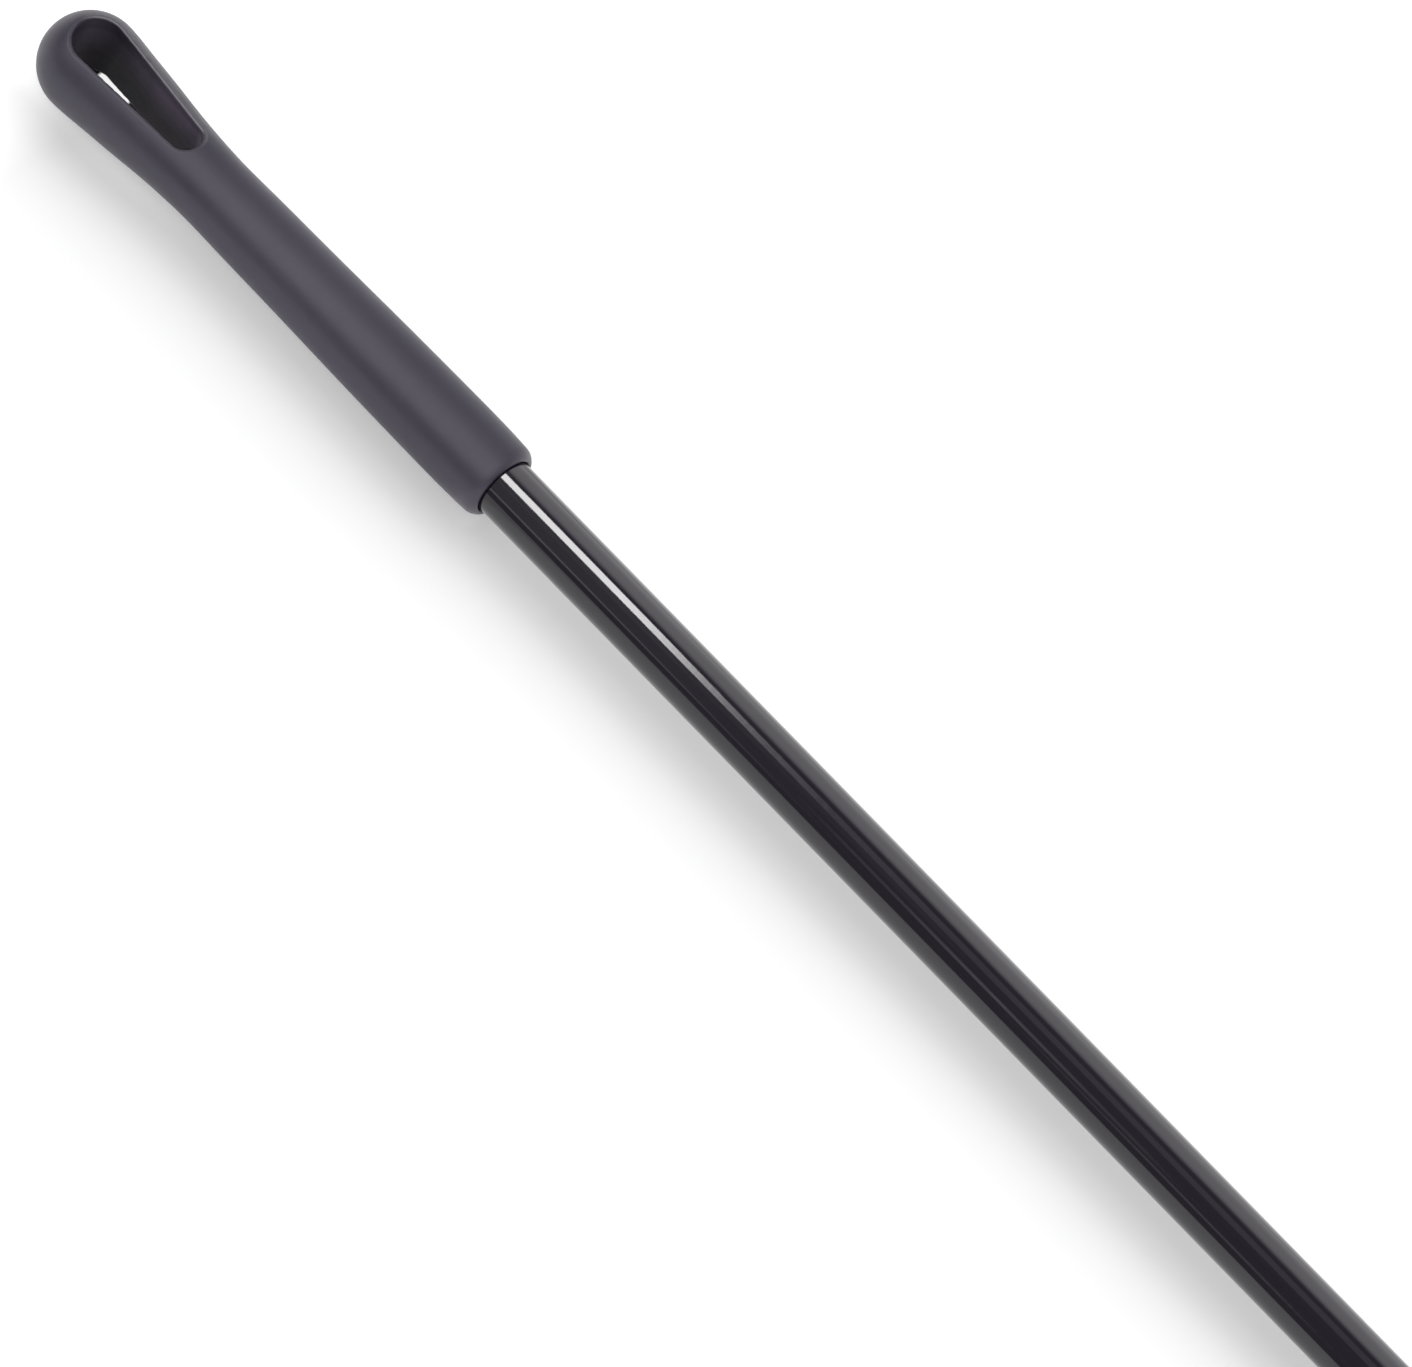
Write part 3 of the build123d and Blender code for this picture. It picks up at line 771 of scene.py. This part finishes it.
def make_lock_body():
    # r, s, corner radius: barrel, flange, threaded neck, then back through the bore
    profile = rounded([
        (12.73, 980.0, 0.2), (LOCK_R - 1.2, 980.0, 0.5), (LOCK_R, 981.6, 0.8),
        (LOCK_R + 0.3, 1003.6, 1.5), (17.2, 1005.2, 0.8), (17.2, 1009.6, 0.5),
        (16.4, 1010.4, 0.4), (LOCK_THREAD_R, 1010.4, 0.3), (LOCK_THREAD_R, 1045.2, 0.2),
        (13.2, 1046.0, 0.2), (12.6, 1046.0, 0.15), (11.25, 1037.0, 0.3),
        (11.25, TUBE_END, 0.15), (12.73, TUBE_END, 0.15),
    ])
    profile = densify(profile, 0.3, s_min=981.0, s_max=1000.5, r_min=14.0)
    profile = densify(profile, 0.16, s_min=1015.0, s_max=1045.0, r_min=13.5)
    lathe("lock_body_moulding", profile, 216, MAT_NYLON, "outer", "lock_body", lock_body_shape)


def nut_shape(theta, r, s):
    """Screw thread inside the nut."""
    ridge = ridge_height(theta, s, s0=1021.0, s1=1035.0, pitch=LOCK_PITCH,
                         root_w=2.8, crest_w=1.7, depth=LOCK_THREAD_DEPTH)
    return np.where((r < 14.9) & (r > 14.7) & (s < 1046.0), r - ridge, r)


def make_lock_nut():
    # r, s, corner radius: up the outside with a rim at each end, then down the inside
    profile = rounded([
        (NUT_BORE_R, NUT_S0, 0.3), (16.7, NUT_S0, 0.4), (17.2, NUT_S0 + 0.6, 0.3),
        (17.2, NUT_S0 + 2.8, 0.4), (16.2, NUT_S0 + 3.4, 0.2), (16.2, NUT_S1 - 16.6, 0.2),
        (17.2, NUT_S1 - 16.0, 0.4), (17.2, NUT_S1 - 13.4, 1.6), (15.0, NUT_S1 - 1.6, 1.2),
        (13.8, NUT_S1, 0.6), (12.2, NUT_S1, 0.5), (11.35, NUT_S1 - 1.0, 0.3),
        (11.35, NUT_LAND, 0.2), (13.75, NUT_LAND, 0.2), (13.75, NUT_LAND - 2.4, 0.2),
        (NUT_BORE_R, NUT_LAND - 3.9, 0.2),
    ])
    profile = densify(profile, 0.2, s_min=1018.0, s_max=1038.0)
    lathe("lock_nut_moulding", profile, 180, MAT_NYLON, "nut", "lock_nut", nut_shape)


def sleeve_shape(theta, r, s):
    """Lobed outside with rounded ends."""
    lobe = SLEEVE_R - SLEEVE_LOBE * np.cos(SLEEVE_LOBES * theta)
    edge = np.clip(np.minimum(s - SLEEVE_S0, SLEEVE_S1 - s) / SLEEVE_ROUND, 0, 1)
    drop = SLEEVE_ROUND * (1 - np.sqrt(np.clip(1 - (1 - edge) ** 2, 0, 1)))
    return np.where(r > 17.3, lobe - drop, r)


def make_sleeve():
    ends = [SLEEVE_ROUND * (1 - math.cos(math.pi / 2 * k / 8)) for k in range(8)]
    straight = SLEEVE_S1 - SLEEVE_S0 - 2 * SLEEVE_ROUND
    rows = [SLEEVE_S0 + e for e in ends]
    rows += [SLEEVE_S0 + SLEEVE_ROUND + straight * k / 24 for k in range(25)]
    rows += [SLEEVE_S1 - e for e in reversed(ends)]
    profile = [(16.22, SLEEVE_S0), (16.3, SLEEVE_S0)]
    profile += [(17.8, s) for s in rows]
    profile += [(16.3, SLEEVE_S1), (16.22, SLEEVE_S1)]
    lathe("nut_sleeve_soft", np.array(profile), 256, MAT_SLEEVE, "nut", "nut_sleeve",
          sleeve_shape)


def make_lock_rivets():
    """Two dome-headed rivets, one facing +Y and one facing -Y."""
    ball = (RIVET_HEAD_R ** 2 + RIVET_HEAD_H ** 2) / (2 * RIVET_HEAD_H)
    # r, y
    profile = [
        (0, RIVET_Y0), (RIVET_SHANK_R - 0.15, RIVET_Y0), (RIVET_SHANK_R, RIVET_Y0 + 0.15),
        (RIVET_SHANK_R, RIVET_Y1), (RIVET_HEAD_R - 0.12, RIVET_Y1),
        (RIVET_HEAD_R, RIVET_Y1 + 0.1),
    ]
    for k in range(1, 9):
        angle = math.asin(RIVET_HEAD_R / ball) * (1 - k / 8)
        profile.append((ball * math.sin(angle),
                        RIVET_Y1 + RIVET_HEAD_H - ball + ball * math.cos(angle)))
    x, along_s, y, faces = turned(np.array(profile), 40)
    verts = np.concatenate([world_xyz(x, side * y, RIVET_S + along_s) for side in (1, -1)])
    faces = faces + [[i + len(x) for i in face] for face in faces]
    make_object("lock_rivets_domed", verts, faces, MAT_STEEL, "outer", "lock_rivets")


# ---------------------------------------------------------------- threaded tip
def tip_shape(theta, r, s):
    # Acme thread, run out into a chamfer at the nose end
    core = (np.abs(r - TIP_CORE_R) < 0.05) & (s > 1082.45) & (s < 1111.05)
    ridge = ridge_height(theta, s, s0=1081.4, s1=1110.8, pitch=TIP_PITCH,
                         root_w=TIP_CREST + 2 * TIP_THREAD_DEPTH * TIP_FLANK,
                         crest_w=TIP_CREST, depth=TIP_THREAD_DEPTH)
    chamfer = np.clip((1111.0 - s) / 3.4, 0, 1) * 5.2 + 0.05
    shaped = np.where(core, r + np.minimum(ridge, chamfer), r)
    # eight flutes round the collar
    return shaped - flute_depth(theta, r, s, count=8, centre_r=TIP_COLLAR_R + 3.2, flute_r=4.1,
                                s0=1072.1, s1=1079.1, r_min=12.0)


def make_tip():
    # r, s, corner radius: plug inside the tube, collar, thread core, nose
    profile = rounded([
        (0, 1036.0), (9.2, 1036.0, 0.2), (10.17, 1038.0, 0.3), (10.17, 1070.0, 0.05),
        (12.6, 1070.0, 0.3), (TIP_COLLAR_R, 1071.0, 0.5), (TIP_COLLAR_R, 1079.8, 0.8),
        (12.0, 1083.0, 0.6), (9.9, 1083.0, 0.15), (9.9, 1082.4, 0.15),
        (TIP_CORE_R, 1082.4, 0.1), (TIP_CORE_R, 1111.0, 0.02), (6.5, 1111.0, 0.1),
        (6.5, 1120.5, 0.4), (5.0, TOTAL, 0.5), (0, TOTAL),
    ], closed=False)
    profile = densify(profile, 0.35, s_min=1071.5, s_max=1079.8, r_min=13.0, closed=False)
    profile = densify(profile, 0.12, s_min=1082.5, s_max=1111.0, r_min=6.6, closed=False)
    lathe("thread_tip_moulding", profile, 200, MAT_TIP, "inner", "thread_tip", tip_shape)


make_grip()
make_outer_tube()
make_inner_tube()
make_lock_body()
make_lock_nut()
make_sleeve()
make_lock_rivets()
make_tip()
repaint("tip_rivet", MAT_STEEL)

# ---------------------------------------------------------------- camera
CAMERA_YAW, CAMERA_TILT = math.radians(17.5), math.radians(29.6)
POLE_RIGHT, POLE_DOWN = 0.69890452, 0.71521495   # the pole's direction in the view
AIM_RIGHT, AIM_DOWN = 79.054175, 76.749731       # mm from the grip's mouth to the view's centre
CAMERA_DISTANCE = 7.79
CAMERA_BACK = Vector((math.sin(CAMERA_YAW), -math.cos(CAMERA_YAW) * math.sin(CAMERA_TILT),
                      math.cos(CAMERA_YAW) * math.cos(CAMERA_TILT)))   # towards the camera


def make_camera():
    pole = Vector((1, 0, 0))
    across = Vector((0, math.cos(CAMERA_TILT), math.sin(CAMERA_TILT)))
    along = (pole - CAMERA_BACK * pole.dot(CAMERA_BACK)).normalized()
    right = along * POLE_RIGHT + across * POLE_DOWN
    down = along * POLE_DOWN - across * POLE_RIGHT
    mouth = Vector((row_x(GRIP_LEN), 0, AXIS_Z / 1000.0))
    centre = mouth + right * (AIM_RIGHT / 1000.0) + down * (AIM_DOWN / 1000.0)
    data = bpy.data.cameras.new("camera")
    data.sensor_width = 36.0
    data.lens = 508.5
    data.clip_start, data.clip_end = 0.1, 200.0
    camera = bpy.data.objects.new("camera", data)
    bpy.context.scene.collection.objects.link(camera)
    matrix = Matrix((right, -down, CAMERA_BACK)).transposed().to_4x4()
    matrix.translation = centre + CAMERA_BACK * CAMERA_DISTANCE
    camera.matrix_world = matrix
    bpy.context.scene.camera = camera


make_camera()

# ---------------------------------------------------------------- pale floor
FLOOR_GLOW = 0.235        # glow of the table as the camera sees it
FRAMED_PAINTED_LIGHT = 0.78        # painted light: glow of the bright stretch seen through the eye


def camera_painted_light(tree, x, y):
    """Painted light and shade on the table for camera rays: an even glow, the part the eye
    frames with a painted bright stretch in it and painted dark shade beside it, and painted
    lifts of the shadow near the pole and round the butt.

    These painted marks are for the camera's direction only and fade from any other.
    """
    geometry = tree.nodes.new("ShaderNodeNewGeometry")
    facing = tree.nodes.new("ShaderNodeVectorMath")
    facing.operation = "DOT_PRODUCT"
    tree.links.new(geometry.outputs["Incoming"], facing.inputs[0])
    facing.inputs[1].default_value = tuple(CAMERA_BACK)
    from_here = fade(tree, facing.outputs["Value"], start=0.985, end=0.996)

    # painted light: a short bright stretch of table, with painted dark shade on both sides of it
    frame_centre_y, edge = 0.0105, 0.8
    off_centre = node_math(tree, "ABSOLUTE", subtract(tree, y, frame_centre_y), 0)
    framed = multiply(tree, from_here, fade(tree, off_centre, start=0.0072, end=0.0060),
                      fade_along(tree, x, start=80.0, end=75.0),
                      fade_along(tree, x, start=4.0, end=9.0))
    framed_painted_light = multiply(
        tree, fade_along(tree, x, start=EYE_PAINTED_LIGHT_SPAN[1] + edge, end=EYE_PAINTED_LIGHT_SPAN[1] - edge),
        fade_along(tree, x, start=EYE_PAINTED_LIGHT_SPAN[0] - edge, end=EYE_PAINTED_LIGHT_SPAN[0] + edge))
    change = subtract(tree, multiply(tree, framed_painted_light, FRAMED_PAINTED_LIGHT), FLOOR_GLOW)
    glow = add(tree, FLOOR_GLOW, multiply(tree, framed, change))

    def add_outside_frame(level, extra):
        return add(tree, level, multiply(tree, extra, subtract(tree, 1.0, framed)))

    # painted light that lifts the shadow from just on the -Y side of the axis onwards to +Y,
    # wider and stronger under the grip and again towards the butt
    near_shadow_lift, grip_gain, butt_gain, butt_reach = 0.050, 5.0, 0.045, 0.005
    grip_reach = fade_along(tree, x, start=GRIP_LEN + 2.0, end=GRIP_LEN - 4.0, hi=0.005)
    butt_part = fade_along(tree, x, start=110.0, end=45.0)
    near_y = add(tree, y, add(tree, grip_reach, multiply(tree, butt_part, butt_reach)))
    near = multiply(tree, from_here, fade(tree, near_y, start=-0.0135, end=-0.0045))
    near_gain = add(tree, near_shadow_lift, add(tree, multiply(tree, grip_reach, grip_gain),
                                         multiply(tree, butt_part, butt_gain)))
    glow = add_outside_frame(glow, multiply(tree, near, near_gain))
    # and another painted lift of the shadow round the butt
    butt = multiply(tree, from_here, fade_along(tree, x, start=38.0, end=12.0, hi=0.14))
    return add_outside_frame(glow, butt), framed, framed_painted_light


def floor_material():
    material = bpy.data.materials.new("floor_pale")
    tree = empty_tree(material)
    new = tree.nodes.new
    output = new("ShaderNodeOutputMaterial")
    v = coords(tree)

    def cloudy_diffuse(dark, light):
        shader = new("ShaderNodeBsdfDiffuse")
        cloud = noise(tree, v, scale=3.0, detail=2.0)
        tree.links.new(mix_colour(tree, cloud, (dark,) * 3, (light,) * 3),
                       shader.inputs["Color"])
        return shader.outputs[0]

    lighting = cloudy_diffuse(dark=0.60, light=0.62)
    # as seen by the camera and in mirror-like surfaces the table also glows a little
    seen = cloudy_diffuse(dark=0.73, light=0.745)
    x, y, _ = split_coords(tree, "Object")
    camera_glow, framed, framed_painted_light = camera_painted_light(tree, x, y)
    # painted light: for glossy rays the table glows brighter beyond the grip, so the tube
    # mirrors a brighter table than the grip does, and the butt end lifts a little
    gloss_painted_light = add(tree, fade_along(tree, x, start=GRIP_LEN - 24.0, end=GRIP_LEN - 8.0,
                                      lo=0.22, hi=0.60),
                     fade_along(tree, x, start=115.0, end=70.0, hi=0.14))
    path = new("ShaderNodeLightPath")
    is_camera, is_glossy = path.outputs["Is Camera Ray"], path.outputs["Is Glossy Ray"]
    glow = new("ShaderNodeEmission")
    tree.links.new(mix_value(tree, is_camera, gloss_painted_light, camera_glow), glow.inputs["Strength"])

    # painted shadow: near-black table in the framed part beside the bright stretch, for camera
    # rays only
    painted_shadow_black = new("ShaderNodeBsdfDiffuse")
    painted_shadow_black.inputs["Color"].default_value = (0.03, 0.03, 0.03, 1)
    framed_painted_shade = multiply(tree, framed, subtract(tree, 1.0, framed_painted_light))
    glowing = new("ShaderNodeAddShader")
    tree.links.new(mix_shader(tree, multiply(tree, is_camera, framed_painted_shade), seen,
                              painted_shadow_black.outputs[0]), glowing.inputs[0])
    tree.links.new(glow.outputs[0], glowing.inputs[1])
    direct = node_math(tree, "MAXIMUM", is_camera, is_glossy)
    top = mix_shader(tree, direct, lighting, glowing.outputs[0])
    # clear from below
    clear = new("ShaderNodeBsdfTransparent")
    geometry = new("ShaderNodeNewGeometry")
    tree.links.new(mix_shader(tree, geometry.outputs["Backfacing"], top, clear.outputs[0]),
                   output.inputs["Surface"])
    return material


def make_floor():
    mesh = bpy.data.meshes.new("floor")
    bm = bmesh.new()
    bmesh.ops.create_grid(bm, x_segments=8, y_segments=8, size=60.0)
    bm.to_mesh(mesh)
    bm.free()
    floor = bpy.data.objects.new("floor", mesh)
    floor.location.z = -0.0001
    bpy.context.scene.collection.objects.link(floor)
    mesh.materials.append(floor_material())


make_floor()

# ---------------------------------------------------------------- world
SKY_DIFFUSE = 0.85        # sky, for diffuse light
SKY_DARK = 0.30           # sky, as mirrored in gloss
SKY_LOW = 0.75            # low sky on the +Y side, as mirrored in gloss
SKY_CAMERA = 1.05         # sky, as the camera sees it

scene = bpy.context.scene


def make_world():
    world = bpy.data.worlds.new("studio")
    scene.world = world
    tree = empty_tree(world)
    output = tree.nodes.new("ShaderNodeOutputWorld")
    background = tree.nodes.new("ShaderNodeBackground")
    background.inputs["Color"].default_value = (1, 1, 1, 1)
    tree.links.new(background.outputs[0], output.inputs["Surface"])
    # cosine of the elevation across the pole: 1 at the +Y horizon, 0 overhead, -1 at -Y
    _, y, z = split_coords(tree, "Generated")
    length = node_math(tree, "SQRT", add(tree, multiply(tree, y, y), multiply(tree, z, z)))
    cosine = node_math(tree, "DIVIDE", y, node_math(tree, "MAXIMUM", length, 0.001))
    mirrored = fade(tree, cosine, start=math.cos(math.radians(34)),
                    end=math.cos(math.radians(14)), lo=SKY_DARK, hi=SKY_LOW)
    path = tree.nodes.new("ShaderNodeLightPath")
    sky = mix_value(tree, path.outputs["Is Glossy Ray"], SKY_DIFFUSE, mirrored)
    tree.links.new(mix_value(tree, path.outputs["Is Camera Ray"], sky, SKY_CAMERA),
                   background.inputs["Strength"])


make_world()


# ---------------------------------------------------------------- lights
def receiver_group(name, objects):
    group = bpy.data.collections.new(name)
    for obj in objects:
        group.objects.link(obj)
    return group


soft_pieces = [bpy.data.objects["grip_moulding"], bpy.data.objects["nut_sleeve_soft"]]
HARD = receiver_group("lit_by_hard", [o for o in bpy.data.objects
                                      if o.type == "MESH" and o not in soft_pieces])
SOFT = receiver_group("lit_by_soft", soft_pieces)


def lamp(name, at, size_x, size_y, radiance, receivers, diffuse=False):
    """Rectangular lamp facing the frame's X axis, long side along X, lighting only receivers."""
    data = bpy.data.lights.new(name, "AREA")
    data.shape = "RECTANGLE"
    data.size, data.size_y = size_x, size_y
    data.energy = radiance * math.pi * size_x * size_y
    obj = bpy.data.objects.new(name, data)
    outward = Vector((0, at[1], at[2])).normalized()
    x_dir = Vector((1, 0, 0))
    matrix = Matrix((x_dir, outward.cross(x_dir), outward)).transposed().to_4x4()
    matrix.translation = Vector(at)
    obj.matrix_world = matrix
    scene.collection.objects.link(obj)
    obj.visible_camera = False
    obj.visible_diffuse = diffuse
    obj.light_linking.receiver_collection = receivers


def bands(name, rows, radius, half_x, receivers, diffuse=False):
    """Lamps round the pole. Rows: elevation from, to (0 at +Y, 90 overhead), radiance."""
    for i, (lo, hi, radiance) in enumerate(rows):
        middle, half = math.radians((lo + hi) / 2), math.radians((hi - lo) / 2)
        at = (0.0, radius * math.cos(middle), radius * math.sin(middle))
        lamp(f"{name}_{i}", at, 2 * half_x, 2 * radius * math.tan(half), radiance,
             receivers, diffuse)


OVERHEAD_Z = 0.9


def overhead(name, rows):
    """Lamps above the pole, mirrored only. Rows: x from, x to, y, width, radiance."""
    for i, (x0, x1, y, width, radiance) in enumerate(rows):
        lamp(f"{name}_{i}", ((x0 + x1) / 2, y, OVERHEAD_Z), x1 - x0, width, radiance, HARD)


# side panels: light the table and the hard pieces from the +Y side
PANEL_LEVEL = 1.35
bands("side_panel", [(lo, hi, PANEL_LEVEL * level) for lo, hi, level in [
    (0, 14, 0.9), (14, 28, 0.9), (28, 42, 0.9), (42, 56, 0.92), (56, 62, 0.85), (62, 68, 0.42),
]], radius=25.0, half_x=60.0, receivers=HARD, diffuse=True)

# narrow strip overhead, a streak in glossy surfaces that fades towards the tip
# x from, x to, width, elevation in degrees, level
STRIP_LEVEL = 17.0
overhead("strip", [
    (x0, x1, OVERHEAD_Z / math.tan(math.radians(lean)), width, STRIP_LEVEL * level)
    for x0, x1, width, lean, level in [
        (-1.9, -0.492, 0.34, 91.5, 1.0), (-0.492, -0.478, 0.34, 92.0, 0.86),
        (-0.478, -0.466, 0.33, 92.2, 0.62), (-0.466, -0.454, 0.32, 92.5, 0.42),
        (-0.454, -0.442, 0.31, 92.8, 0.27), (-0.442, -0.430, 0.30, 93.1, 0.17),
        (-0.430, -0.414, 0.30, 93.4, 0.095), (-0.414, -0.38, 0.30, 93.8, 0.05),
        (-0.38, 2.5, 0.30, 94.5, 0.022),
    ]])

# pale ceiling round the strip, strongest near the grip
CEILING_LEVEL = 0.30
overhead("ceiling", [(x0, x1, -0.19, 0.56, CEILING_LEVEL * level) for x0, x1, level in [
    (-1.9, -0.48, 1.0), (-0.48, -0.42, 0.6), (-0.42, -0.30, 0.35),
]])

# dim ceiling on its -Y side, which lifts that side of the tube near the grip
overhead("front_ceiling", [(x0, x1, -1.02, 1.10, radiance) for x0, x1, radiance in [
    (-1.9, -0.70, 0.26), (-0.70, -0.65, 0.20), (-0.65, -0.59, 0.14), (-0.59, -0.53, 0.07),
]])

# faint narrow lights, mirrored as broken lines in the -Y side of the tube
overhead("line", [
    (-2.4, -0.98, -2.2, 0.20, 1.15), (-0.98, -0.92, -2.2, 0.20, 0.7),
    (-0.92, -0.86, -2.2, 0.20, 0.35), (-0.50, -0.44, -1.0, 0.24, 0.4),
    (-0.44, -0.41, -1.0, 0.24, 0.75), (-0.41, -0.37, -1.0, 0.24, 1.0),
    (-0.37, -0.33, -1.0, 0.24, 0.7), (-0.33, -0.28, -1.0, 0.24, 0.35),
    (-0.56, -0.50, -1.85, 0.26, 0.3), (-0.50, -0.38, -1.85, 0.26, 0.6),
])

# sheen on the hard pieces, on the +Y side of the strip
bands("sheen", [
    (24, 30, 0.2), (30, 38, 0.42), (38, 54, 0.55), (54, 62, 0.40), (62, 70, 0.20),
], radius=25.0, half_x=60.0, receivers=HARD)

# softboxes over the soft pieces, seen only as their sheen
bands("softbox", [
    (8, 30, 0.34), (30, 60, 0.34), (60, 84, 0.62), (84, 112, 1.4), (112, 141, 1.5),
], radius=3.0, half_x=4.0, receivers=SOFT)

scene.view_settings.view_transform = "Standard"
scene.view_settings.look = "None"
scene.view_settings.exposure = 0.0
scene.view_settings.gamma = 1.0
